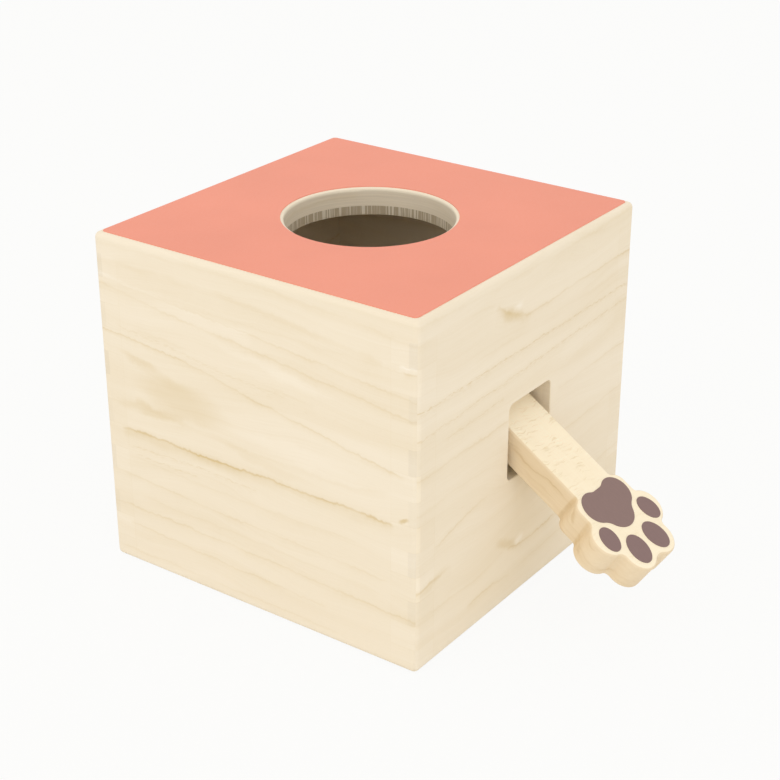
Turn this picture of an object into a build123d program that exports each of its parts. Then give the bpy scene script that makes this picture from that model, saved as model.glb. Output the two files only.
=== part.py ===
# Cat activity box: a finger-jointed wooden box with a round reaching hole in its
# coral top, and a paw-shaped lever that swings on a pin inside a slot in one wall.
# Frame: the origin is at the middle of the underside, +Z is up, and +X goes out
# through the slotted wall, so that -Y is the plain wall beside it.
# All sizes are in millimetres, and all angles in degrees.
import os
from math import cos, radians, sin

from build123d import *

os.makedirs("parts", exist_ok=True)

# Box
box_width = 160
wall_height = 142
wall_thickness = 12
finger_count = 13
edge_rounding = 2.5
hole_radius = 35.5
hole_rounding = 1.5

# Sheets that close the box, and the blocks that hold the bottom one
top_board_thickness = 8
laminate_thickness = 0.3
laminate_corner = 2
underlay_thickness = 4
bottom_thickness = 8
panel_clearance = 0.2
block_width = 20
block_height = 20

# Slot in the paw's wall, and the pin that crosses it inside the wall
slot_height = 34.2
slot_middle_height = 74.6
slot_corner_radius = 3
slot_softening = 0.35
pivot_depth = 6
pin_diameter = 5
pin_chamfer = 0.5
running_clearance = 0.06
seat_clearance = 0.03
groove_inset = 2

# Paw lever, one board: a reach runs from the pivot towards the toes, an advance on from
# the piece before, and an offset to each side
rest_tilt = 33.65
lever_thickness = 14
lever_rounding = 1.2
arm_width = 26
tail_length = 72
palm_start = 40
palm_width = 35.5
palm_corner = 5
palm_fillet = 1.5
side_toe_advance = 19.2
side_toe_offset = 15.8
side_toe_radius = 8.25
side_toe_fillet = 2
front_toe_advance = 11.8
front_toe_overlap = 0.7
front_toe_radius = 8.4
front_toe_fillet = 2.5
toe_notch_fillet = 6

# Printed pads on the palm side: the palm's two lobes and its front, and a pad a little
# off the middle of each toe. The wrist's edge crosses the lobes at a share of their
# radius, and the front is a round that starts a little past that edge
pad_thickness = 0.2
pad_lobe_advance = 7.1
pad_lobe_offset = 7.9
pad_lobe_radius = 7.25
pad_front_start = 1.45
pad_front_radius = 9.05
pad_wrist_share = 0.8
pad_wrist_fillet = 5
pad_neck_fillet = 7
side_pad_advance = 0.8
side_pad_spread = 0.1
side_pad_length = 11.55
side_pad_width = 9.05
side_pad_turn = 16
front_pad_setback = 0.9
front_pad_gather = 0.75
front_pad_length = 13.5
front_pad_width = 10.7
front_pad_turn = 12.7

# Cheeks that hold the pin and the stop, and the washers that centre the lever
cheek_thickness = 14
cheek_drop = 22
cheek_margin = 6
cheek_chamfer = 4
stop_diameter = 8
stop_reach = 30
stop_gap = 0.3
washer_diameter = 8
washer_thickness = 2.7
washer_gap = 0.3

# Countersunk screws
screw_diameter = 3.5
screw_head_diameter = 7
screw_head_height = 2.4
screw_sink = 0.4
screw_point = 2
screw_clearance = 0.05
cheek_screw_length = 28
cheek_screw_offset = 12
bottom_screw_length = 22
drive_width = 3.6
drive_bar = 0.9
drive_depth = 1.4

# One overrun for all cuts
overrun = 1

# Sizes that follow
box_half = box_width / 2
inner_half = box_half - wall_thickness
board_top = wall_height + top_board_thickness
finger_height = wall_height / finger_count
pin_radius = pin_diameter / 2
pivot_x = box_half - pivot_depth
pivot_height = slot_middle_height
pin_cover = wall_thickness - pivot_depth
lever_half = lever_thickness / 2
arm_half = arm_width / 2
slot_width = arm_width + 2 * (washer_thickness + washer_gap)
slot_half = slot_width / 2
cheek_outer = slot_half + cheek_thickness
groove_length = 2 * (cheek_outer - groove_inset)
stop_radius = stop_diameter / 2
stop_rise = lever_half + stop_gap + stop_radius

# Reaches and offsets along the paw, each from the piece that it belongs to
side_toe_reach = palm_start + side_toe_advance
front_toe_reach = side_toe_reach + front_toe_advance
front_toe_offset = front_toe_radius - front_toe_overlap
pad_lobe_reach = palm_start + pad_lobe_advance
pad_wrist_reach = pad_lobe_reach - pad_wrist_share * pad_lobe_radius
pad_front_reach = pad_wrist_reach + pad_front_start + pad_front_radius
side_pad_reach = side_toe_reach + side_pad_advance
side_pad_offset = side_toe_offset + side_pad_spread
front_pad_reach = front_toe_reach - front_pad_setback
front_pad_offset = front_toe_offset - front_pad_gather

# Planes: the lever's middle plane at rest, its palm side, the pin's upright plane,
# and the inner face of the slotted wall at the slot's and at the pin's height
pivot = Vector(pivot_x, 0, pivot_height)
lever_out = Vector(cos(radians(rest_tilt)), 0, -sin(radians(rest_tilt)))
lever_up = Vector(sin(radians(rest_tilt)), 0, cos(radians(rest_tilt)))
lever_plane = Plane(origin=pivot, x_dir=lever_out, z_dir=lever_up)
palm_plane = lever_plane.offset(lever_half)
pin_plane = Plane(origin=pivot, x_dir=(1, 0, 0), z_dir=(0, -1, 0))
slot_plane = Plane(origin=(inner_half, 0, slot_middle_height), x_dir=(0, 1, 0), z_dir=(1, 0, 0))
groove_plane = Plane(origin=(inner_half, 0, pivot_height), x_dir=(0, 1, 0), z_dir=(1, 0, 0))

# Middle of the stop, from the pivot along X and Z, and the cheeks' own sizes
stop_x = stop_rise * lever_up.X - stop_reach * lever_out.X
stop_z = stop_rise * lever_up.Z - stop_reach * lever_out.Z
cheek_round = stop_radius + cheek_margin
cheek_depth = cheek_round - stop_x - pin_cover
cheek_height = cheek_drop + stop_z + cheek_round

# Places of the screws, each a plane on the face that its head sinks into
block_place = inner_half - block_width / 2
block_places = [
    (right * block_place, back * block_place)
    for right, back in ((1, -1), (1, 1), (-1, 1), (-1, -1))
]
bottom_screw_planes = [
    Plane(origin=(x, y, screw_sink), z_dir=(0, 0, -1)) for x, y in block_places
]
cheek_screw_planes = [
    Plane(
        origin=(
            inner_half - cheek_depth + screw_sink,
            side * (slot_half + cheek_thickness / 2),
            pivot_height + rise * cheek_screw_offset,
        ),
        z_dir=(-1, 0, 0),
    )
    for side in (-1, 1)
    for rise in (-1, 1)
]


def countersunk_screw(length):
    """A screw along Z, its point down and its head's flat face at zero."""
    with BuildPart() as body:
        with BuildSketch(Plane.XZ):
            with BuildLine():
                Polyline(
                    (0, 0),
                    (screw_head_diameter / 2, 0),
                    (screw_diameter / 2, -screw_head_height),
                    (screw_diameter / 2, screw_point - length),
                    (0, -length),
                    close=True,
                )
            make_face()
        revolve(axis=Axis.Z)
        with BuildSketch(Plane.XY):
            Rectangle(drive_width, drive_bar)
            Rectangle(drive_bar, drive_width)
        extrude(amount=-drive_depth, mode=Mode.SUBTRACT)
    return body.part


def screw_hole(length):
    """The hole for such a screw, opened past the surface that its head sinks into."""
    hole_radius_shank = screw_diameter / 2 + screw_clearance
    hole_radius_head = screw_head_diameter / 2 + screw_clearance
    with BuildPart() as room:
        with BuildSketch(Plane.XZ):
            with BuildLine():
                Polyline(
                    (0, screw_sink + overrun),
                    (hole_radius_head, screw_sink + overrun),
                    (hole_radius_head, 0),
                    (hole_radius_shank, -screw_head_height),
                    (hole_radius_shank, -length - overrun),
                    (0, -length - overrun),
                    close=True,
                )
            make_face()
        revolve(axis=Axis.Z)
    return room.part


# Outer form of the whole box, which gives the walls and the top their rounded edges
with BuildPart() as outer_form:
    Box(box_width, box_width, board_top, align=(Align.CENTER, Align.CENTER, Align.MIN))
    fillet(outer_form.edges(), radius=edge_rounding)


def finger_jointed_wall(outward, first_notch):
    """A wall that looks along outward, with every second finger cut away at both ends."""
    inner_face = Plane(
        origin=outward * inner_half, x_dir=outward.cross(Vector(0, 0, -1)), z_dir=outward
    )
    notches = [
        (side * box_half, place * finger_height)
        for side in (-1, 1)
        for place in range(first_notch, finger_count, 2)
    ]
    with BuildPart() as wall:
        with BuildSketch(inner_face):
            Rectangle(box_width, wall_height, align=(Align.CENTER, Align.MIN))
            with Locations(*notches):
                Rectangle(
                    2 * wall_thickness,
                    finger_height,
                    align=(Align.CENTER, Align.MIN),
                    mode=Mode.SUBTRACT,
                )
        extrude(amount=wall_thickness)
        add(outer_form.part, mode=Mode.INTERSECT)
    return wall.part


# Plain walls: the pair across X owns the lowest and the topmost finger
with BuildPart() as side_wall:
    add(finger_jointed_wall(Vector(-1, 0, 0), first_notch=1))
side_wall.part.label = "side_wall"
export_step(side_wall.part, "parts/side_wall.step")

with BuildPart() as front_wall:
    add(finger_jointed_wall(Vector(0, -1, 0), first_notch=0))
front_wall.part.label = "front_wall"
export_step(front_wall.part, "parts/front_wall.step")

with BuildPart() as rear_wall:
    add(finger_jointed_wall(Vector(0, 1, 0), first_notch=0))
rear_wall.part.label = "rear_wall"
export_step(rear_wall.part, "parts/rear_wall.step")

# Slotted wall: a groove crosses the slot from the inside, deep enough for the pin to
# lie in the middle of the wall
with BuildPart() as paw_wall:
    add(finger_jointed_wall(Vector(1, 0, 0), first_notch=1))
    with BuildSketch(slot_plane):
        RectangleRounded(slot_width, slot_height, slot_corner_radius)
    extrude(amount=wall_thickness, mode=Mode.SUBTRACT)
    outer_face = paw_wall.faces().sort_by(Axis.X)[-1]
    chamfer(outer_face.inner_wires().edges(), length=slot_softening)
    with BuildSketch(groove_plane):
        SlotOverall(groove_length, pin_diameter + 2 * seat_clearance)
    extrude(amount=pin_cover + pin_radius + seat_clearance, mode=Mode.SUBTRACT)
    with Locations(*cheek_screw_planes):
        add(screw_hole(cheek_screw_length), mode=Mode.SUBTRACT)
paw_wall.part.label = "paw_wall"
export_step(paw_wall.part, "parts/paw_wall.step")

# Top: a board over the walls, a coral sheet on its flat face, which ends where the
# rounded edges start, and a thinner sheet under the board, between the walls
with BuildPart() as top_board:
    with BuildSketch(Plane.XY.offset(wall_height)):
        Rectangle(box_width, box_width)
        Circle(hole_radius, mode=Mode.SUBTRACT)
    extrude(amount=top_board_thickness)
    rim_edge = top_board.edges().filter_by(GeomType.CIRCLE).sort_by(Axis.Z)[-1]
    fillet(rim_edge, radius=hole_rounding)
    add(outer_form.part, mode=Mode.INTERSECT)
top_board.part.label = "top_board"
export_step(top_board.part, "parts/top_board.step")

with BuildPart() as top_laminate:
    with BuildSketch(Plane.XY.offset(board_top)):
        flat_width = box_width - 2 * edge_rounding
        RectangleRounded(flat_width, flat_width, laminate_corner)
        Circle(hole_radius + hole_rounding, mode=Mode.SUBTRACT)
    extrude(amount=laminate_thickness)
top_laminate.part.label = "top_laminate"
export_step(top_laminate.part, "parts/top_laminate.step")

with BuildPart() as top_underlay:
    with BuildSketch(Plane.XY.offset(wall_height - underlay_thickness)):
        Rectangle(2 * inner_half, 2 * inner_half)
        Circle(hole_radius, mode=Mode.SUBTRACT)
    extrude(amount=underlay_thickness)
top_underlay.part.label = "top_underlay"
export_step(top_underlay.part, "parts/top_underlay.step")

# Bottom panel between the walls, screwed to a block that is glued into each corner
with BuildPart() as bottom_panel:
    with BuildSketch(Plane.XY):
        panel_width = 2 * (inner_half - panel_clearance)
        Rectangle(panel_width, panel_width)
    extrude(amount=bottom_thickness)
    with Locations(*bottom_screw_planes):
        add(screw_hole(bottom_screw_length), mode=Mode.SUBTRACT)
bottom_panel.part.label = "bottom_panel"
export_step(bottom_panel.part, "parts/bottom_panel.step")

for number, place in enumerate(block_places, start=1):
    with BuildPart() as corner_block:
        with BuildSketch(Plane.XY.offset(bottom_thickness)):
            with Locations(place):
                Rectangle(block_width, block_width)
        extrude(amount=block_height)
        with Locations(bottom_screw_planes[number - 1]):
            add(screw_hole(bottom_screw_length), mode=Mode.SUBTRACT)
    corner_block.part.label = f"corner_block_{number}"
    export_step(corner_block.part, f"parts/corner_block_{number}.step")

with BuildPart() as bottom_screws:
    with Locations(*bottom_screw_planes):
        add(countersunk_screw(bottom_screw_length))
bottom_screws.part.label = "bottom_screws"
export_step(bottom_screws.part, "parts/bottom_screws.step")

# Pivot pin, lying in the groove, with a washer on it at each side of the slot
with BuildPart() as pivot_pin:
    with BuildSketch(pin_plane):
        Circle(pin_radius)
    extrude(amount=(groove_length - pin_diameter) / 2, both=True)
    chamfer(pivot_pin.edges().filter_by(GeomType.CIRCLE), length=pin_chamfer)
pivot_pin.part.label = "pivot_pin"
export_step(pivot_pin.part, "parts/pivot_pin.step")

# The two sides of the pivot, by the distance of their first face along -Y
for name, washer_start, cheek_start in (
    ("front", slot_half - washer_thickness, slot_half),
    ("rear", -slot_half, -cheek_outer),
):
    with BuildPart() as washer:
        with BuildSketch(pin_plane.offset(washer_start)):
            Circle(washer_diameter / 2)
            Circle(pin_radius + running_clearance, mode=Mode.SUBTRACT)
        extrude(amount=washer_thickness)
    washer.part.label = f"{name}_washer"
    export_step(washer.part, f"parts/{name}_washer.step")

    # Cheek: a block behind the wall, with a key that closes the groove over the pin
    with BuildPart() as cheek:
        with BuildSketch(pin_plane.offset(cheek_start)) as cheek_side:
            with Locations((-pin_cover, -cheek_drop)):
                Rectangle(cheek_depth, cheek_height, align=(Align.MAX, Align.MIN))
            inner_corners = cheek_side.vertices().group_by(Axis.X)[0].sort_by(Axis.Y)
            fillet(inner_corners[-1], cheek_round)
            inner_corners = cheek_side.vertices().group_by(Axis.X)[0].sort_by(Axis.Y)
            chamfer(inner_corners[0], cheek_chamfer)
            with Locations((stop_x, stop_z)):
                Circle(stop_radius + seat_clearance, mode=Mode.SUBTRACT)
        extrude(amount=cheek_thickness)
        with BuildSketch(groove_plane):
            SlotOverall(groove_length - 2 * seat_clearance, pin_diameter)
            with Locations((-cheek_start - cheek_thickness / 2, 0)):
                Rectangle(cheek_thickness, pin_diameter, mode=Mode.INTERSECT)
        extrude(amount=pin_cover - pin_radius - seat_clearance)
        with Locations(*cheek_screw_planes):
            add(screw_hole(cheek_screw_length), mode=Mode.SUBTRACT)
    cheek.part.label = f"{name}_cheek"
    export_step(cheek.part, f"parts/{name}_cheek.step")

with BuildPart() as cheek_screws:
    with Locations(*cheek_screw_planes):
        add(countersunk_screw(cheek_screw_length))
cheek_screws.part.label = "cheek_screws"
export_step(cheek_screws.part, "parts/cheek_screws.step")

# Stop: a dowel across the cheeks, above the tail, that the hanging paw rests against
with BuildPart() as stop_dowel:
    with BuildSketch(pin_plane):
        with Locations((stop_x, stop_z)):
            Circle(stop_radius)
    extrude(amount=cheek_outer, both=True)
stop_dowel.part.label = "stop_dowel"
export_step(stop_dowel.part, "parts/stop_dowel.step")

# Paw lever: arm, tail, palm and toes are one outline, with fillets where its rounds
# meet, cut from one board whose edges are all rounded over
lever_normal = Axis(pivot, lever_up)
side_toes = [(side_toe_reach, side * side_toe_offset) for side in (-1, 1)]
front_toes = [(front_toe_reach, side * front_toe_offset) for side in (1, -1)]

with BuildPart() as paw_lever:
    with BuildSketch(lever_plane.offset(-lever_half)) as lever_outline:
        with Locations((arm_half - tail_length, 0)):
            Circle(arm_half)
            Rectangle(
                side_toe_reach + tail_length - arm_half,
                arm_width,
                align=(Align.MIN, Align.CENTER),
            )
        with Locations((palm_start, 0)):
            RectangleRounded(
                side_toe_reach - palm_start,
                palm_width,
                palm_corner,
                align=(Align.MIN, Align.CENTER),
            )
        Polygon(*side_toes, *front_toes, align=None)
        with Locations(*side_toes):
            Circle(side_toe_radius)
        with Locations(*front_toes):
            Circle(front_toe_radius)
        # Rows of corners are counted from the tail, and the farthest goes first, so
        # that the rows before it keep their numbers
        for row, radius in (
            (5, toe_notch_fillet),
            (4, front_toe_fillet),
            (3, side_toe_fillet),
            (1, palm_fillet),
        ):
            corners = lever_outline.vertices().group_by(Axis.X)[row]
            fillet(corners.sort_by(lambda corner: abs(corner.Y))[:2], radius)
    extrude(amount=lever_thickness)
    flat_faces = paw_lever.faces().sort_by(lever_normal)
    fillet(flat_faces[0].edges() + flat_faces[-1].edges(), radius=lever_rounding)
    with BuildSketch(pin_plane):
        Circle(pin_radius + running_clearance)
    extrude(amount=arm_half + overrun, both=True, mode=Mode.SUBTRACT)
paw_lever.part.label = "paw_lever"
export_step(paw_lever.part, "parts/paw_lever.step")

# Pads: thin printed layers on the palm side, one for the palm and one for each toe
pad_lobes = [(pad_lobe_reach, side * pad_lobe_offset) for side in (-1, 1)]

with BuildPart() as main_pad:
    with BuildSketch(palm_plane) as pad_outline:
        with Locations(*pad_lobes):
            Circle(pad_lobe_radius)
        with Locations((pad_front_reach, 0)):
            Circle(pad_front_radius)
        with Locations((pad_wrist_reach, 0)):
            Rectangle(
                pad_front_reach - pad_wrist_reach,
                2 * pad_lobe_offset,
                align=(Align.MIN, Align.CENTER),
            )
        fillet(pad_outline.vertices().group_by(Axis.X)[-1], pad_neck_fillet)
        fillet(pad_outline.vertices().group_by(Axis.X)[0], pad_wrist_fillet)
    extrude(amount=pad_thickness)
main_pad.part.label = "main_pad"
export_step(main_pad.part, "parts/main_pad.step")

side_pad = (side_pad_reach, side_pad_offset, side_pad_length, side_pad_width, side_pad_turn)
front_pad = (front_pad_reach, front_pad_offset, front_pad_length, front_pad_width, front_pad_turn)
toe_pads = ((side_pad, -1), (front_pad, -1), (front_pad, 1), (side_pad, 1))

for number, (sizes, side) in enumerate(toe_pads, start=1):
    reach, offset_across, length, width, turn = sizes
    with BuildPart() as toe_pad:
        with BuildSketch(palm_plane):
            with Locations((reach, side * offset_across)):
                Ellipse(length / 2, width / 2, rotation=side * turn)
        extrude(amount=pad_thickness)
    toe_pad.part.label = f"toe_pad_{number}"
    export_step(toe_pad.part, f"parts/toe_pad_{number}.step")
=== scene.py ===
import math
import bpy
from mathutils import Euler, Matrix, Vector

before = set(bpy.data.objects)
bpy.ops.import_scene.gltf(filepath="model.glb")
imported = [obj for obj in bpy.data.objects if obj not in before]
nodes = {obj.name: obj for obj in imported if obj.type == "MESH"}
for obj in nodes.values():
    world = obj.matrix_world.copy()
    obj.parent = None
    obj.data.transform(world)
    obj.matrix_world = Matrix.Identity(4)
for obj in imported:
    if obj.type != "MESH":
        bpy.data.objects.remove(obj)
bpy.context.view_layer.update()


def linearColour(code):  # an sRGB hex colour as the linear values that nodes take
    parts = [int(code[i:i + 2], 16) / 255 for i in (1, 3, 5)]
    return tuple(c / 12.92 if c <= 0.04045 else ((c + 0.055) / 1.055) ** 2.4 for c in parts) + (1,)


def setInputs(tree, node, inputs):  # inputs come in order or by name, and each is linked or set
    for place, value in inputs.items() if isinstance(inputs, dict) else enumerate(inputs):
        if isinstance(value, bpy.types.NodeSocket):
            tree.links.new(value, node.inputs[place])
        else:
            node.inputs[place].default_value = value


def addNode(tree, kind, inputs=(), out=0, **settings):  # gives back one output of the new node
    node = tree.nodes.new("ShaderNode" + kind)
    for name, value in settings.items():
        setattr(node, name, value)
    setInputs(tree, node, inputs)
    return node.outputs[out]


def addMath(tree, operation, *values):
    return addNode(tree, "Math", values, operation=operation)


def multiply(tree, product, *others):
    for other in others:
        product = addMath(tree, "MULTIPLY", product, other)
    return product


def sumUp(tree, total, *terms):  # terms: pairs of a value and its share in the total
    for value, share in terms:
        total = addMath(tree, "MULTIPLY_ADD", value, share, total)
    return total


def addRange(tree, value, low, high, toLow=0, toHigh=1, **settings):
    return addNode(tree, "MapRange", [value, low, high, toLow, toHigh], **settings)


def addSmooth(tree, value, low, high, toLow=0, toHigh=1):  # a range with soft ends
    return addRange(tree, value, low, high, toLow, toHigh, interpolation_type="SMOOTHSTEP")


def spread(tree, noise, low, high, **settings):  # noise, mostly from 0.3 to 0.7, taken to low and high
    return addRange(tree, noise, 0.3, 0.7, low, high, **settings)


def addNoise(tree, place, lines, detail, **more):  # lines per millimetre, one number or one for each axis
    if isinstance(lines, tuple):
        place = addNode(tree, "Mapping", {"Vector": place, "Scale": lines})
        lines = 1.0
    return addNode(tree, "TexNoise", {"Vector": place, "Scale": lines, "Detail": detail, **more})


def addCurve(tree, value, points):  # a smooth curve through points from 0 to 1, level outside them
    output = addNode(tree, "FloatCurve", {"Value": value})
    mapping = output.node.mapping
    mapping.extend = "HORIZONTAL"
    curve = mapping.curves[0]
    while len(curve.points) < len(points):
        curve.points.new(0.5, 0.5)
    for point, place in zip(curve.points, points):
        point.location = place
        point.handle_type = "AUTO_CLAMPED"
    mapping.update()
    return output


def blend(tree, share, first, second):  # two numbers: the first at share 0, the second at share 1
    return addNode(tree, "Mix", {"Factor": share, "A": first, "B": second})


def blendColours(tree, share, first, second):  # the same with two hex colours
    colours = {0: share, 6: linearColour(first), 7: linearColour(second)}
    return addNode(tree, "Mix", colours, out=2, data_type="RGBA")


def tintColour(tree, colour, depth, tint):  # depth 1 multiplies the colour by the tint, depth 0 leaves it
    inputs = {0: depth, 6: colour, 7: tint}
    settings = {"data_type": "RGBA", "blend_type": "MULTIPLY", "clamp_factor": False}
    return addNode(tree, "Mix", inputs, out=2, **settings)


def shadeColour(tree, code, factor):  # a hex colour made paler or darker
    return addNode(tree, "HueSaturation", {"Value": factor, "Color": linearColour(code)})


def addBump(tree, height, strength, distance):
    return addNode(tree, "Bump", {"Strength": strength, "Distance": distance, "Height": height})


def splitUp(tree, vector):  # its X, Y and Z
    return addNode(tree, "SeparateXYZ", [vector]).node.outputs[:]


def addLength(tree, vector):
    return addNode(tree, "VectorMath", [vector], out="Value", operation="LENGTH")


def newMaterial(name):  # gives its tree and shader too, and its object coordinates in millimetres
    material = bpy.data.materials.new(name)
    material.use_nodes = True
    tree = material.node_tree
    place = addNode(tree, "TexCoord", out="Object")
    mm = addNode(tree, "Mapping", {"Vector": place, "Scale": (1000, 1000, 1000)})
    return material, tree, tree.nodes["Principled BSDF"], mm


def dress(material, *names):  # the material goes on these nodes' slots
    for name in names:
        for slot in nodes[name].material_slots:
            slot.material = material


def seenRays(tree):  # 1 for camera, glossy and transmission rays, 0 for all others
    rays = addNode(tree, "LightPath", out="Is Camera Ray")
    seen = addMath(tree, "MAXIMUM", rays, rays.node.outputs["Is Glossy Ray"])
    return addMath(tree, "MAXIMUM", seen, rays.node.outputs["Is Transmission Ray"])


# Camera: stands where the photograph was taken from, and looks down at the box's near corner
camera = {
    "place": (0.39625, -0.53770, 0.38907),
    "towards": (0.5264, -0.7332, 0.4306),  # from the object to the lens
    "lens": 79.0,
    "sensor": 36,
}
lens = bpy.data.cameras.new("camera")
lens.lens = camera["lens"]
lens.sensor_width = camera["sensor"]
cameraObject = bpy.data.objects.new("camera", lens)
cameraObject.location = camera["place"]
cameraObject.rotation_euler = Vector(camera["towards"]).to_track_quat("Z", "Y").to_euler()
bpy.context.scene.collection.objects.link(cameraObject)
bpy.context.scene.camera = cameraObject
print("camera set")


# Box wood: paulownia, glued up from boards, planed and sanded, with no finish. It is pale cream
# and dull, with faint wandering rings, rows of fine pores and a brown line here and there.
# Lengths are in millimetres, lines are per millimetre, and depth below 0 makes the wood paler.
boxWood = {
    "colour": "#f4e7d0",
    "ringTint": (0.925, 0.89, 0.81, 1),  # what depth 1 leaves of each colour
    "sawnTint": (0.88, 0.875, 0.87, 1),  # the same where the wood is cut across its grain
    "slowLines": (0.011, 0.011, 0.02),
    "slowWander": 30.0,  # how far the rings and fibres stray
    "quickLines": (0.11, 0.11, 0.16),
    "quickWander": 1.5,
    "quickTremble": 2.4,  # how far streaks and spots stray
    "roughLines": (0.5, 0.5, 0.3),
    "roughTremble": 1.6,
    "patchLines": (0.045, 0.045, 0.1),
    "patchRange": (0.35, 0.6, 0.45, 1.15),  # this range of the noise becomes that share of a streak
    "bandLines": (0.004, 0.075),  # along the grain and across it
    "fibreLines": (0.03, 1.5),
    "poreLines": (0.34, 2.3),
    "poreEdge": (0.64, 0.74),  # the noise where a pore starts and where it is full
    "poreRange": (-0.2, 0.9, 0.15, 1),  # this range of the bands becomes that share of pores
    "dotRange": (0.42, 0.58, 0.2, 1.3),
    "sawnLines": (0.03, 0.03, 1.3),
    "sawnRange": (0.6, 1.4),
    "ringSpacing": 11,
    "streakDepth": 1.45,
    "ringDepth": 0.12,
    "bandDepth": 0.3,
    "poreDepth": 0.5,
    "toneDepth": 0.35,
    "hairlineDepth": 0.2,
    "fibreDepth": 0.12,
    "roughness": 0.62,
    "highlight": 0.25,
    "bump": 0.25,
    "relief": 0.00008,  # metres
    "halfWidth": 80,
    "wallTop": 142,
    "fingers": 13,
    "fingerLength": 12,
    "edgeBlur": 0.2,
    "levelLine": (0.05, 0.4),  # how far from its middle a hairline starts to fade, and where it ends
    "uprightLine": (0.05, 0.35),
    "paleEnds": -0.45,  # finger ends of the plain wall and the rear wall, on the faces across X
    "paleStrip": 2.5,
    "greyEnds": 0.5,  # finger ends of the slotted wall and the side wall, on the faces across Y
    "greyStrip": 4,
    # how much of that each finger end shows, from the lowest up
    "endShares": (0.1, 0.3, 0.6, 1.0, 0.85, 1.0, 0.4, 1.0, 1.0, 0.6, 0.6, 0.5, 1.0),
}
slotCut = {"round": False, "reach": 16.4, "depth": 0.3}  # reach: how far from the middle cut faces lie
# In the hole the darkening goes deeper: greyer cross grain, and painted shade down the hole's wall
holeCutAndShade = {"round": True, "reach": 36.6, "depth": 0.9}

# A streak has places (along, height), a half width and a depth, and a dotted one breaks up.
# A spot has its middle (along, height), half length, half height, turn and depth.
frontStreaks = [
    ([(-69, 64.6), (-50, 65.0), (-34, 64.2), (-12, 63.8), (4, 64.6), (30, 63.9), (48, 64.5), (67, 63.4)],
     1.0, 1.6),
    ([(-68, 62.4), (-30, 62.2), (10, 61.8), (60, 61.4)], 2.6, 0.15),
    ([(-76, 108), (-30, 103.8), (0, 97.8), (30, 92.8), (72, 85.4)], 0.75, 0.75),
    ([(-66, 130), (-30, 127.6), (0, 125.2), (40, 121.5), (77, 118)], 0.8, 0.5),
    ([(-76, 128), (-40, 123.2), (0, 119), (40, 114.4), (77, 110)], 0.9, 0.5),
    ([(-77, 133), (-54, 129.6), (-30, 127), (0, 125.2)], 1.6, -0.5),
    ([(-68, 111), (-46, 109.4), (-14, 105), (18, 103)], 1.4, 0.3, "dotted"),
    ([(-66, 57), (-30, 58), (0, 57)], 0.6, 0.5, "dotted"),
    ([(-62, 53.6), (-30, 53.4)], 0.5, 0.5, "dotted"),
    ([(-70, 43), (-30, 40.8), (20, 39.4), (64, 38)], 0.8, 0.5),
    ([(-78, 27.6), (-30, 27), (30, 25.4), (76, 23.6)], 0.8, 0.6),
    ([(-68, 19), (0, 16.2), (34, 15.2)], 0.7, 0.5),
    ([(-74, 5.8), (40, 5.2)], 0.7, 0.3),
    ([(-78, 138.5), (-30, 138), (0, 136.6), (62, 130)], 2.6, 0.4),
    ([(-76, 146), (-20, 146.5), (40, 144), (76, 140)], 1.6, 0.25),
    ([(-58, 112), (-20, 109), (30, 103)], 1.2, 0.2),
    ([(-60, 78), (-20, 74), (40, 73), (66, 76)], 1.8, 0.25),
    ([(-66, 52), (0, 50), (50, 50.5)], 1.0, 0.2),
    ([(-60, 34), (0, 33), (60, 31)], 1.0, 0.2),
    ([(72.5, 130.6), (80.5, 131.2)], 0.8, -0.7),
    ([(74.5, 128.6), (80.5, 129.2)], 0.7, 1.0),
]
frontSpots = [
    ((-58, 98.8), 14, 2.6, -0.16, 0.45),
    ((-37, 86), 31, 10, -0.1, 0.6),
    ((-54, 77.4), 26, 3.4, 0.08, 0.5),
    ((-50, 95), 24, 3.4, -0.3, 0.25),
    ((4, 71.5), 34, 3.2, -0.1, 0.22),
    ((74, 68), 3.2, 1.8, 0.3, 1.5),
    ((10, 114), 40, 4, -0.12, -0.25),
    ((20, 80), 44, 6, -0.12, -0.2),
]
pawStreaks = [
    ([(-26, 137), (-20, 133), (-12, 129.2), (-4, 127.4)], 1.8, 0.7),
    ([(-6, 127.6), (6, 127.2), (30, 128.3), (78, 129.2)], 0.75, 0.9),
    ([(-78, 113), (0, 113.6), (78, 114)], 0.65, 0.8, "dotted"),
    ([(-78, 101.6), (0, 104.6), (78, 107)], 0.65, 0.65, "dotted"),
    ([(-60, 95.5), (-20, 97)], 0.7, 0.5, "dotted"),
    ([(-76, 85), (-46, 85.6), (-18, 85.2)], 0.8, 0.5),
    ([(-79, 36.4), (-68, 37.4), (-58, 37.6)], 1.5, 0.9),
    ([(-12, 25.6), (-3, 23.2), (9, 23.4), (23, 24.8)], 0.9, 0.85),
    ([(-66, 51.6), (-50, 55.4), (-33, 58.2)], 0.8, 0.6),
    ([(24, 84.4), (60, 85.8), (79, 86.6)], 0.75, 0.5),
    ([(26, 31.6), (60, 35.5), (79, 37)], 0.75, 0.5),
    ([(22, 62.4), (40, 63.6), (79, 66)], 0.75, 0.45),
    ([(-42, 12.6), (-30, 14.1), (-14, 12.4)], 1.1, 0.8),
    ([(-14, 12.6), (30, 15)], 0.8, 0.25),
    ([(-79, 147), (-20, 145.6), (40, 146.4), (79, 148)], 1.6, 0.3),
    ([(-79, 140), (-50, 140.6), (-30, 139.4)], 1.4, 0.25),
    ([(-40, 120.4), (20, 120), (79, 121.6)], 1.6, 0.22),
    ([(-79, 70), (-50, 71), (-24, 70)], 1.6, 0.25),
    ([(-76, 24), (-40, 23), (-28, 24)], 1.2, 0.22),
]
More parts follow.
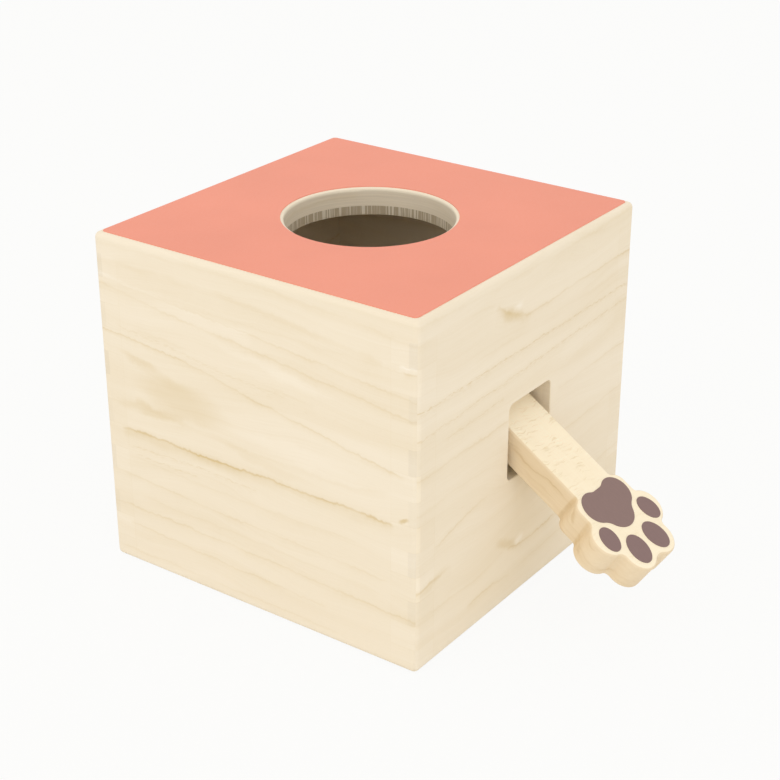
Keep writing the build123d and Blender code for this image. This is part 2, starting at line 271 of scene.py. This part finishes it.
pawSpots = [
    ((-16, 131.5), 12, 4.2, -0.5, 0.8),
    ((-12.5, 132.8), 5.5, 3.2, 0.3, -0.5),
    ((-5.5, 27.4), 5, 2.4, 0.3, -0.6),
    ((-68, 37), 12, 3, 0.05, 0.35),
    ((-15, 29), 12, 4, -0.5, 0.7),
    ((40, 100), 40, 6, 0.05, -0.2),
]
rearStreaks = [
    ([(-78, 118), (-30, 121), (10, 122.4), (78, 120)], 0.8, 0.6),
    ([(-78, 96), (-20, 101), (30, 102), (78, 97)], 0.8, 0.8),
    ([(-60, 88), (-10, 91.5), (40, 90)], 2.2, 0.3),
    ([(-78, 74), (-30, 76), (20, 75), (78, 71)], 0.7, 0.5, "dotted"),
    ([(-78, 52), (0, 50), (78, 53)], 0.8, 0.55),
    ([(-40, 38), (20, 36.6), (78, 38)], 0.8, 0.7),
    ([(-78, 21), (-10, 23), (78, 19)], 0.75, 0.5, "dotted"),
    ([(-78, 140), (10, 137), (78, 139)], 1.8, 0.35),
]
rearSpots = [
    ((-20, 60), 38, 7, 0.06, 0.4),
    ((44, 29), 5, 2, 0.1, 0.7),
    ((30, 110), 40, 5, 0.03, -0.25),
]
sideStreaks = [
    ([(-78, 125), (-10, 122), (78, 126)], 0.8, 0.55),
    ([(-78, 108), (0, 104), (40, 104.6), (78, 108)], 0.75, 0.75, "dotted"),
    ([(-78, 83), (-30, 86), (30, 87), (78, 82)], 0.85, 0.8),
    ([(-50, 78), (0, 80.4), (50, 79)], 2.4, 0.3),
    ([(-78, 62), (0, 60), (78, 64)], 0.7, 0.5, "dotted"),
    ([(-78, 41), (-20, 43), (78, 39)], 0.8, 0.6),
    ([(-78, 18), (20, 20), (78, 17)], 0.8, 0.5),
    ([(-78, 141), (0, 143), (78, 140)], 1.8, 0.3),
]
sideSpots = [
    ((20, 95), 42, 6, 0.03, 0.35),
    ((-52, 52), 6, 2.2, 0.2, 0.7),
    ((-10, 30), 40, 5, 0, -0.25),
]

# Streaks are drawn by curves, whose 0 to 1 stands for this length and height in millimetres
field = {
    "halfLength": 80,
    "height": 150,
    "profileReach": 5,  # in half widths of the streak
    "spotWobble": 4.0,  # millimetres
    "usualPatch": 0.85,
    "spotCore": 0.25,  # a spot is at its full depth out to here, where 1 is its border
}

# Across a streak: a soft stain rises slowly on its lower side to a sharp line, and soon ends above it
streakProfile = [(0, 0), (0.22, 0.13), (0.4, 0.4), (0.46, 0.62),
                 (0.5, 1), (0.55, 0.5), (0.62, 0.12), (0.8, 0)]
ringProfile = [(0, 0.0), (0.55, 0.06), (0.9, 0.55), (0.96, 1.0), (1, 0.0)]


def fadeEnds(start, end):  # rises where a streak starts and falls where it ends, but not at the field's edges
    fade = 0.02 if end - start < 0.1 else 0.05
    first = (0, 1) if start < 0.03 else (max(start - fade / 3, 0), 0)
    last = (1, 1) if end > 0.97 else (min(end + fade / 3, 1), 0)
    return [first, (start + fade, 1), (end - fade, 1), last]


def drawSpots(tree, along, height, spots, patches, total):  # soft ellipses that wobble with the patches
    wobble = field["spotWobble"]
    level = addMath(tree, "SUBTRACT", height, wobble * field["usualPatch"])
    place = addNode(tree, "CombineXYZ", [along, sumUp(tree, level, (patches, wobble)), 0.0])
    for middle, halfLength, halfHeight, turn, depth in spots:
        ellipse = {
            "Vector": place,
            "Location": (*middle, 0),
            "Rotation": (0, 0, turn),
            "Scale": (halfLength, halfHeight, 1),
        }
        reach = addLength(tree, addNode(tree, "Mapping", ellipse, vector_type="TEXTURE"))
        total = sumUp(tree, total, (addSmooth(tree, reach, field["spotCore"], 1, 1, 0), depth))
    return total


# Adds up the depth of every streak and spot of one face; patches or dots break up each streak
def drawStreaks(tree, along, height, streaks, spots, patches, dots):
    halfLength, fieldHeight = field["halfLength"], field["height"]
    share = addRange(tree, along, -halfLength, halfLength)
    total = 0.0
    for places, halfWidth, depth, *dotted in streaks:
        points = [((g + halfLength) / (2 * halfLength), a / fieldHeight) for g, a in places]
        middle = addCurve(tree, share, points)
        strength = addCurve(tree, share, fadeEnds(points[0][0], points[-1][0]))
        reach = field["profileReach"] * halfWidth
        distance = addMath(tree, "MULTIPLY_ADD", middle, -fieldHeight, height)
        line = addCurve(tree, addRange(tree, distance, -reach, reach), streakProfile)
        line = multiply(tree, line, strength, dots if dotted else patches)
        total = sumUp(tree, total, (line, depth))
    return drawSpots(tree, along, height, spots, patches, total)


def addGrain(tree, along, height, lines, detail, **more):  # noise drawn out along the grain
    linesAlong, linesAcross = lines
    place = [multiply(tree, along, linesAlong), 0.0, multiply(tree, height, linesAcross)]
    return addNoise(tree, addNode(tree, "CombineXYZ", place), 1.0, detail, **more)


def boxGrain(tree, mm, along, z):
    # The grain's height wanders slowly, and that of streaks and spots trembles
    slow = addNoise(tree, mm, boxWood["slowLines"], 1.0)
    quick = addNoise(tree, mm, boxWood["quickLines"], 2.0)
    rough = addNoise(tree, mm, boxWood["roughLines"], 1.0)
    wander = sumUp(tree, z, (slow, boxWood["slowWander"]), (quick, boxWood["quickWander"]))
    tremble = addMath(tree, "SUBTRACT", z, (boxWood["quickTremble"] + boxWood["roughTremble"]) / 2)
    tremble = sumUp(tree, tremble, (quick, boxWood["quickTremble"]), (rough, boxWood["roughTremble"]))

    # Soft bands, rings with one sharp side, long fibres and short pores
    bands = spread(tree, addGrain(tree, along, wander, boxWood["bandLines"], 2.0), -1, 1, clamp=False)
    rings = addMath(tree, "FRACT", multiply(tree, wander, 1 / boxWood["ringSpacing"]))
    patches = addRange(tree, addNoise(tree, mm, boxWood["patchLines"], 1.0), *boxWood["patchRange"])
    fibres = addGrain(tree, along, wander, boxWood["fibreLines"], 3.0, Roughness=0.6)
    pores = addGrain(tree, along, wander, boxWood["poreLines"], 1.0)
    poreShare = addRange(tree, bands, *boxWood["poreRange"])  # dark bands have more pores
    return {
        "tremble": tremble,
        "bands": bands,
        "rings": multiply(tree, addCurve(tree, rings, ringProfile), patches),
        "patches": patches,
        "fibres": spread(tree, fibres, -1, 1, clamp=False),
        "pores": multiply(tree, addSmooth(tree, pores, *boxWood["poreEdge"]), poreShare),
        "dots": addRange(tree, pores, *boxWood["dotRange"]),
    }


# Finger joints: each finger has its own tone, and a hairline goes round it. At the corner the
# ends of the fingers show, greyer or paler than the face beside them.
def boxFingers(tree, far, z, facesX, patches, endDepth):
    blur = boxWood["edgeBlur"]
    height = boxWood["wallTop"] / boxWood["fingers"]
    joint = boxWood["halfWidth"] - boxWood["fingerLength"]
    inFinger = addRange(tree, far, joint - blur, joint + blur)
    belowTop = addRange(tree, z, boxWood["wallTop"] - 1, boxWood["wallTop"] - 0.4, 1, 0)
    row = addMath(tree, "FLOOR", addMath(tree, "DIVIDE", z, height))
    tone = addNode(tree, "TexWhiteNoise", {"W": addMath(tree, "ADD", row, facesX)}, noise_dimensions="1D")
    tone = multiply(tree, addMath(tree, "SUBTRACT", tone, 0.5), inFinger, belowTop)

    toLevel = addMath(tree, "PINGPONG", z, height / 2)
    level = multiply(tree, addRange(tree, toLevel, *boxWood["levelLine"], 1, 0), inFinger)
    toUpright = addMath(tree, "ABSOLUTE", addMath(tree, "SUBTRACT", far, joint))
    upright = addRange(tree, toUpright, *boxWood["uprightLine"], 1, 0)
    hairline = multiply(tree, addMath(tree, "MAXIMUM", level, upright), belowTop, patches)

    edge = boxWood["halfWidth"] - (boxWood["greyStrip"] if endDepth > 0 else boxWood["paleStrip"])
    ends = addRange(tree, far, edge - blur, edge + blur)
    ownHalf = facesX if endDepth < 0 else addMath(tree, "SUBTRACT", 1.0, facesX)
    last = boxWood["fingers"] - 1
    points = [(i / last, share) for i, share in enumerate(boxWood["endShares"])]
    shares = addCurve(tree, addMath(tree, "DIVIDE", row, last), points)
    ends = multiply(tree, ends, ownHalf, belowTop, shares, endDepth)
    return tone, hairline, ends


# Cut faces in the hole or the slot cross the grain: greyer and darker, with level saw marks. The hole's
# deeper darkening is also painted shade down its wall
def boxCut(tree, mm, steep, cut):
    x, y = splitUp(tree, mm)[:2]
    place = addNode(tree, "CombineXYZ", [x if cut["round"] else 0.0, y, 0.0])
    inwards = addRange(tree, addLength(tree, place), cut["reach"] - 0.3, cut["reach"], 1, 0)
    marks = spread(tree, addNoise(tree, mm, boxWood["sawnLines"], 3.0), *boxWood["sawnRange"])
    return multiply(tree, marks, addRange(tree, steep, 0.4, 0.8, 1, 0), inwards, cut["depth"])


# onY and onX: streaks and spots of the faces across Y and across X
def makeBoxWood(name, onY, onX, endDepth, cut):
    material, tree, shader, mm = newMaterial(name)
    x, y, z = splitUp(tree, mm)
    normal = splitUp(tree, addNode(tree, "TexCoord", out="Normal"))
    leanX, leanY, leanZ = [addMath(tree, "ABSOLUTE", part) for part in normal]
    facesX = addSmooth(tree, addMath(tree, "SUBTRACT", leanX, leanY), -0.06, 0.06)
    along = blend(tree, facesX, x, y)
    far = blend(tree, facesX, addMath(tree, "ABSOLUTE", x), addMath(tree, "ABSOLUTE", y))
    grain = boxGrain(tree, mm, along, z)
    patches, dots = grain["patches"], grain["dots"]
    tone, hairline, ends = boxFingers(tree, far, z, facesX, patches, endDepth)

    onFaceY = drawStreaks(tree, x, grain["tremble"], *onY, patches, dots)
    onFaceX = drawStreaks(tree, y, grain["tremble"], *onX, patches, dots)
    depth = multiply(tree, blend(tree, facesX, onFaceY, onFaceX), boxWood["streakDepth"])
    depth = sumUp(
        tree,
        depth,
        (grain["rings"], boxWood["ringDepth"]),
        (grain["bands"], boxWood["bandDepth"]),
        (grain["pores"], boxWood["poreDepth"]),
        (tone, boxWood["toneDepth"]),
        (hairline, boxWood["hairlineDepth"]),
        (grain["fibres"], boxWood["fibreDepth"]),
    )
    colour = tintColour(tree, linearColour(boxWood["colour"]), depth, boxWood["ringTint"])
    colour = tintColour(tree, colour, ends, boxWood["sawnTint"])
    if cut:
        steep = leanZ if cut["round"] else leanX
        colour = tintColour(tree, colour, boxCut(tree, mm, steep, cut), boxWood["sawnTint"])
    setInputs(tree, shader, {
        "Base Color": colour,
        "Roughness": boxWood["roughness"],
        "Specular IOR Level": boxWood["highlight"],
        "Normal": addBump(tree, multiply(tree, depth, -1.0), boxWood["bump"], boxWood["relief"]),
    })
    return material


def reaching(pattern, low, high):  # the streaks and spots of a face that reach into a stretch along it
    streaks, spots = pattern
    return ([s for s in streaks if s[0][-1][0] >= low and s[0][0][0] <= high],
            [s for s in spots if s[0][0] + s[1] >= low and s[0][0] - s[1] <= high])


def above(pattern, height):  # the streaks and spots of a face that reach over a height
    streaks, spots = pattern
    return ([s for s in streaks if max(a for g, a in s[0]) + 3 * s[1] >= height],
            [s for s in spots if s[0][1] + s[2] >= height])


front, paw = (frontStreaks, frontSpots), (pawStreaks, pawSpots)
rear, side = (rearStreaks, rearSpots), (sideStreaks, sideSpots)
corner, top = boxWood["halfWidth"], boxWood["wallTop"]
joint = corner - boxWood["fingerLength"]
paleEnds, greyEnds = boxWood["paleEnds"], boxWood["greyEnds"]
boards = (
    ("front_wall", "paulowniaFrontWall", front, reaching(paw, -corner, -joint), paleEnds, None),
    ("paw_wall", "paulowniaPawWall", reaching(front, joint, corner), paw, greyEnds, slotCut),
    ("rear_wall", "paulowniaRearWall", rear, reaching(paw, joint, corner), paleEnds, None),
    ("side_wall", "paulowniaSideWall", reaching(front, -corner, -joint), side, greyEnds, None),
    ("top_board", "paulowniaTopBoard", above(front, top), above(paw, top), 0.0, holeCutAndShade),
)
for board, *settings in boards:
    dress(makeBoxWood(*settings), board)
print("box wood on the walls and the top board")


# Coral sheet: high-pressure laminate, pressed with a fine matt stipple, so it is one even
# colour that never shines
coral = {
    "colour": "#f29a82",
    "stipple": 0.7,
    "cloudLines": 0.02,
    "clouding": 0.025,
    "roughness": (0.5, 0.62),
    "highlight": 0.3,
    "bump": 0.2,
    "relief": 0.00004,  # metres
}
material, tree, shader, mm = newMaterial("coralLaminate")
clouds = addNoise(tree, mm, coral["cloudLines"], 2.0)
clouds = spread(tree, clouds, 1 - coral["clouding"], 1 + coral["clouding"])
grit = addNoise(tree, mm, 1 / coral["stipple"], 2.0)
setInputs(tree, shader, {
    "Base Color": shadeColour(tree, coral["colour"], clouds),
    "Roughness": spread(tree, grit, *coral["roughness"]),
    "Specular IOR Level": coral["highlight"],
    "Normal": addBump(tree, grit, coral["bump"], coral["relief"]),
})
dress(material, "top_laminate")
print("coral sheet")


# Underlay: thin ply whose cut edge round the hole shows upright ticks, pale on brown, in groups
underlay = {
    "colour": "#b3a389",
    "tick": "#dacfba",
    "tickWidth": 0.7,
    "holeRadius": 35.5,
    "layerLines": 0.03,
    "groupShare": 0.16,  # groups per tick
    "groupDepth": 0.14,
    "tickEdge": (0.58, 0.66),  # the noise where a tick starts and where it is full
    "roughness": 0.75,
    "bump": 0.4,
    "relief": 0.0001,  # metres
}
material, tree, shader, mm = newMaterial("plyUnderlay")
x, y, z = splitUp(tree, mm)
angle = addMath(tree, "ARCTAN2", y, x)
arc = multiply(tree, angle, underlay["holeRadius"] / underlay["tickWidth"])
layers = multiply(tree, z, underlay["layerLines"])
ticks = addNoise(tree, addNode(tree, "CombineXYZ", [arc, layers, 0.0]), 1.0, 1.0, Roughness=0.3)
groupArc = multiply(tree, arc, underlay["groupShare"])
groups = addNoise(tree, addNode(tree, "CombineXYZ", [groupArc, 0.0, 0.0]), 1.0, 1.0)
ticks = addRange(tree, sumUp(tree, ticks, (groups, underlay["groupDepth"])), *underlay["tickEdge"])
setInputs(tree, shader, {
    "Base Color": blendColours(tree, ticks, underlay["colour"], underlay["tick"]),
    "Roughness": underlay["roughness"],
    "Normal": addBump(tree, ticks, underlay["bump"], underlay["relief"]),
})
dress(material, "top_underlay")
print("underlay")


# Inner woods: birch ply for the bottom, planed pine for blocks and cheeks, a beech dowel as the
# stop, all raw, warmer and a little darker than the walls, with close straight grain. The numbers
# are grain lines per millimetre along X, Y and Z.
blocks = ["corner_block_1", "corner_block_2", "corner_block_3", "corner_block_4", "front_cheek", "rear_cheek"]
innerWoods = (
    ("birchPly", "#e8d3ac", (0.02, 0.45, 0.9), ["bottom_panel"]),
    ("pineBlock", "#ead2a6", (0.5, 0.5, 0.03), blocks),
    ("beechDowel", "#e6c596", (0.7, 0.03, 0.7), ["stop_dowel"]),
)
for name, colour, lines, wearers in innerWoods:
    material, tree, shader, mm = newMaterial(name)
    fibres = addNoise(tree, mm, lines, 4.0, Roughness=0.6, Distortion=0.4)
    setInputs(tree, shader, {
        "Base Color": shadeColour(tree, colour, spread(tree, fibres, 0.9, 1.06)),
        "Roughness": 0.7,
        "Specular IOR Level": 0.25,
        "Normal": addBump(tree, fibres, 0.3, 0.0001),
    })
    dress(material, *wearers)
print("inner woods")


# Paw lever: beech, bandsawn, rounded over and sanded, warmer than the box. Its flat shows short
# ray flecks across the board, its edges show long brown grain, and painted shade darkens its folds
lever = {
    "flat": "#fff1d4",
    "edge": "#eed9b7",
    "tint": (0.90, 0.86, 0.78, 1),  # what depth 1 leaves of each colour
    "pivot": (74, 0, 74.6),
    "tilt": 33.65,
    "trembleLines": (0.16, 0.2, 0.3),
    "tremble": 3.0,  # how far the grain strays
    "patchLines": 0.09,
    "patchRange": (0.35, 0.6, 0.5, 1.1),  # this range of the noise becomes that share of a streak
    "flatEdge": (0.7, 0.97),  # how much a face looks through the board where the flat starts and is full
    "fibreLines": (0.06, 0.9, 1.1),  # along the board, across it and through it
    "flatFibreDepth": 0.1,
    "edgeFibreDepth": 0.18,
    "fleckLength": 8.0,
    "fleckWidth": 0.42,
    "fleckSlope": -0.12,
    "fleckEdge": (0.56, 0.64),  # the noise where a fleck starts and where it is full
    "fleckDepth": 0.9,
    "paleFleckEdge": (0.40, 0.32),
    "paleFleckDepth": -0.5,
    "fleckPatchLines": 0.13,
    "fleckPatchRange": (0.42, 0.6, 0.1, 1),
    "palmRange": (28, 44, 1, 0.4),  # from the arm to the palm flecks fade to this share
    "cloudLines": 0.05,
    "cloudDepth": 0.25,
    "meanDepth": 0.1,
    "roughness": 0.5,
    "highlight": 0.3,
    "bump": 0.5,
    "relief": 0.0002,  # metres
}
edgeStreaks = [  # along from the pivot, and up from the board's middle
    ([(8, 1.6), (17, 0.8), (22, 1.8), (27, 3.0), (39, 2.8)], 0.8, 1.1),
    ([(16, -2.6), (26, -1.8), (36, -2.4)], 0.9, 0.4),
    ([(22, -4.4), (32, -3.8), (44, -4.6)], 0.7, 0.3),
    ([(-60, 0.5), (-20, 1.0), (8, 2.8)], 0.8, 0.6),
    ([(42, -0.6), (54, -1.4), (66, -2.6), (79, -1.6)], 0.8, 0.5),
    ([(46, -4.4), (60, -4.0), (76, -4.8)], 1.0, 0.35),
]
edgeSpotsAndFoldShade = [
    # The first two spots are painted shade, darkening the folds between arm and palm and between palm and toe
    ((38.8, 0), 1.4, 14, 0, 1.15),  # the fold between arm and palm
    ((50.6, 0), 1.4, 14, 0.14, 0.8),  # the fold between palm and toe
    ((43.5, 3.2), 4.2, 1.1, -0.9, 1.1),
    ((42.5, -5.2), 4.0, 1.0, 0, 0.8),
    ((57, 4.8), 4.0, 0.8, -0.1, 0.8),
    ((54, -2.5), 1.6, 2.4, 0.4, 0.6),
    ((67, -3), 3.2, 0.9, 0, 0.9),
]


def leverFlecks(tree, local, along, across, tremble):  # dark and pale flecks on the lever's flat
    skew = sumUp(tree, along, (across, lever["fleckSlope"]), (tremble, lever["tremble"]))
    place = [
        multiply(tree, skew, 0.5 / lever["fleckWidth"]),
        multiply(tree, across, 1 / lever["fleckLength"]),
        0.0,
    ]
    noise = addNoise(tree, addNode(tree, "CombineXYZ", place), 1.0, 2.0, Distortion=0.6)
    paleFlecks = addSmooth(tree, noise, *lever["paleFleckEdge"])
    flecks = addSmooth(tree, noise, *lever["fleckEdge"])
    flecks = sumUp(tree, flecks, (paleFlecks, lever["paleFleckDepth"]))
    shown = addNoise(tree, local, lever["fleckPatchLines"], 1.0)
    shown = addRange(tree, shown, *lever["fleckPatchRange"])
    return multiply(tree, flecks, shown, addRange(tree, along, *lever["palmRange"]))


# The pattern lies along the board, from the pivot on, and turns with its tilt
material, tree, shader, mm = newMaterial("beechLever")
turn = Euler((0, -math.radians(lever["tilt"]), 0))
offset = turn.to_matrix() @ Vector(lever["pivot"])
local = addNode(tree, "Mapping", {"Vector": mm, "Rotation": turn, "Location": -offset})
along, across, thick = splitUp(tree, local)
normal = addNode(tree, "Mapping", {"Vector": addNode(tree, "TexCoord", out="Normal"), "Rotation": turn})
onFlat = addSmooth(tree, addMath(tree, "ABSOLUTE", splitUp(tree, normal)[2]), *lever["flatEdge"])

# The board's middle is at half the height of the streaks' field
middle = field["height"] / 2
tremble = addNoise(tree, local, lever["trembleLines"], 2.0)
height = addMath(tree, "ADD", thick, middle - lever["tremble"] / 2)
height = sumUp(tree, height, (tremble, lever["tremble"]))
patches = addRange(tree, addNoise(tree, local, lever["patchLines"], 1.0), *lever["patchRange"])
streaks = [([(g, a + middle) for g, a in places], *rest) for places, *rest in edgeStreaks]
spots = [((g, a + middle), *rest) for (g, a), *rest in edgeSpotsAndFoldShade]
edges = drawStreaks(tree, along, height, streaks, spots, patches, patches)

places = zip((along, across, height), lever["fibreLines"])
drawnOut = addNode(tree, "CombineXYZ", [multiply(tree, place, lines) for place, lines in places])
fibres = spread(tree, addNoise(tree, drawnOut, 1.0, 3.0), -1, 1, clamp=False)
flecks = leverFlecks(tree, local, along, across, tremble)
onTop = sumUp(tree, multiply(tree, fibres, lever["flatFibreDepth"]), (flecks, lever["fleckDepth"]))
onEdge = sumUp(tree, edges, (fibres, lever["edgeFibreDepth"]))
clouds = spread(tree, addNoise(tree, local, lever["cloudLines"], 1.0), -0.5, 0.5)
depth = addMath(tree, "SUBTRACT", blend(tree, onFlat, onEdge, onTop), lever["meanDepth"])
depth = sumUp(tree, depth, (clouds, lever["cloudDepth"]))
base = blendColours(tree, onFlat, lever["edge"], lever["flat"])
setInputs(tree, shader, {
    "Base Color": tintColour(tree, base, depth, lever["tint"]),
    "Roughness": lever["roughness"],
    "Specular IOR Level": lever["highlight"],
    "Normal": addBump(tree, multiply(tree, depth, -1.0), lever["bump"], lever["relief"]),
})
dress(material, "paw_lever")
print("lever")


# Pads: screen-printed ink, a thin flat layer that lets a little of the grain's relief through
pads = (
    ("inkPalm", "#8f7772", ["main_pad"]),
    ("inkToe", "#8b7370", ["toe_pad_1", "toe_pad_2", "toe_pad_3", "toe_pad_4"]),
)
for name, colour, wearers in pads:
    material, tree, shader, mm = newMaterial(name)
    grain = addNoise(tree, mm, (0.3, 1.2, 0.3), 3.0)
    setInputs(tree, shader, {
        "Base Color": shadeColour(tree, colour, spread(tree, grain, 0.98, 1.02)),
        "Roughness": 0.6,
        "Specular IOR Level": 0.2,
        "Normal": addBump(tree, grain, 0.15, 0.00005),
    })
    dress(material, *wearers)
print("pads")


# Metal and plastic: a drawn steel pin, zinc-plated screws and moulded nylon washers, each with
# its colour, how metallic and how rough it is
hardware = (
    ("drawnSteel", "#b9bcc0", 1.0, 0.32, ["pivot_pin"]),
    ("zincPlate", "#c3c2bb", 1.0, 0.42, ["bottom_screws", "cheek_screws"]),
    ("nylon", "#eceae2", 0.0, 0.45, ["front_washer", "rear_washer"]),
)
for name, colour, metallic, roughness, wearers in hardware:
    material, tree, shader, mm = newMaterial(name)
    scuffs = addNoise(tree, mm, 1.4, 3.0)
    setInputs(tree, shader, {
        "Base Color": shadeColour(tree, colour, spread(tree, scuffs, 0.94, 1.04)),
        "Roughness": spread(tree, scuffs, roughness - 0.06, roughness + 0.08),
        "Metallic": metallic,
    })
    dress(material, *wearers)
print("hardware")


# Floor: a wide matt pale sheet, which the camera sees nearly white
floor = {"size": 12.0, "colour": "#f4f4f2", "seen": "#fdfdfc", "whitening": 0.92}
bpy.ops.object.select_all(action="DESELECT")
bpy.ops.mesh.primitive_plane_add(size=floor["size"], location=(0, 0, 0))
floorObject = bpy.context.object
floorObject.name = "floor"
material = bpy.data.materials.new("floorSheet")
material.use_nodes = True
tree = material.node_tree
shader = tree.nodes["Principled BSDF"]
setInputs(tree, shader, {
    "Base Color": linearColour(floor["colour"]),
    "Roughness": 0.9,
    "Specular IOR Level": 0.0,
})
glow = addNode(tree, "Emission", {"Color": linearColour(floor["seen"]), "Strength": 1.0})
share = multiply(tree, seenRays(tree), floor["whitening"])
surface = addNode(tree, "MixShader", [share, shader.outputs[0], glow])
tree.links.new(surface, tree.nodes["Material Output"].inputs["Surface"])
floorObject.data.materials.append(material)
print("floor")


# Light: a white tent, and two wide soft lamps that favour the plain wall
light = {
    "tent": 0.88,
    "tentColour": "#fffdfa",
    "seen": "#fdfdfc",
    "aim": (0, 0, 0.07),
    "lamps": (  # place, size and power
        ("keyLamp", (-0.5, -1.6, 1.3), 1.4, 4.95),
        ("fillLamp", (1.5, -0.7, 1.42), 2.6, 6.2),
    ),
}
world = bpy.data.worlds.new("studio")
bpy.context.scene.world = world
world.use_nodes = True
tree = world.node_tree
tent = tree.nodes["Background"]
setInputs(tree, tent, {"Color": linearColour(light["tentColour"]), "Strength": light["tent"]})
backdrop = addNode(tree, "Background", {"Color": linearColour(light["seen"]), "Strength": 1.0})
surface = addNode(tree, "MixShader", [seenRays(tree), tent.outputs[0], backdrop])
tree.links.new(surface, tree.nodes["World Output"].inputs["Surface"])
for name, place, size, power in light["lamps"]:
    lamp = bpy.data.lights.new(name, "AREA")
    lamp.size = size
    lamp.energy = power
    lampObject = bpy.data.objects.new(name, lamp)
    lampObject.location = place
    lampObject.rotation_euler = (Vector(place) - Vector(light["aim"])).to_track_quat("Z", "Y").to_euler()
    bpy.context.scene.collection.objects.link(lampObject)
bpy.context.scene.view_settings.view_transform = "Standard"
print("light")
